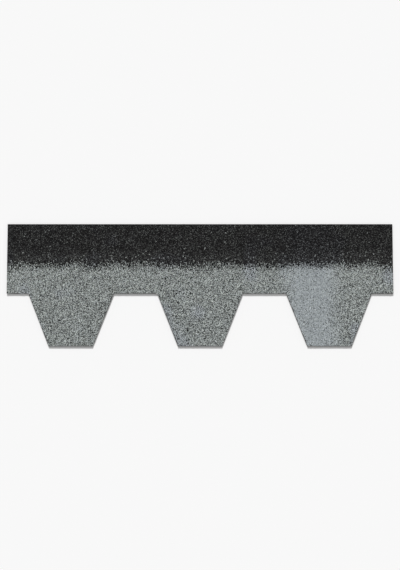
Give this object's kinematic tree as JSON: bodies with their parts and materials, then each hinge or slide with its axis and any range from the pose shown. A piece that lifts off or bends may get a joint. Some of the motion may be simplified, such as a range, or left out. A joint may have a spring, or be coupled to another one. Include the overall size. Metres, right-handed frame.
{
  "type": "hexagonal asphalt shingle strip",
  "caption": "Flat strip of asphalt roof shingle with hexagonal tabs, slanted cut-outs between them, a grey mineral granule face and a dark band along its upper part.",
  "frame": {"origin": "middle of the back face, on the surface that the strip lies on", "axes": "+X along the strip's length, +Y up the roof slope from the tab tips to the top edge, +Z out of the granule face"},
  "size_m": [1, 0.317, 0.003],
  "materials": {
    "granule_coat": "matte"
  },
  "bodies": {
    "root": {"shingle_strip": "granule_coat"}
  },
  "joints": []
}
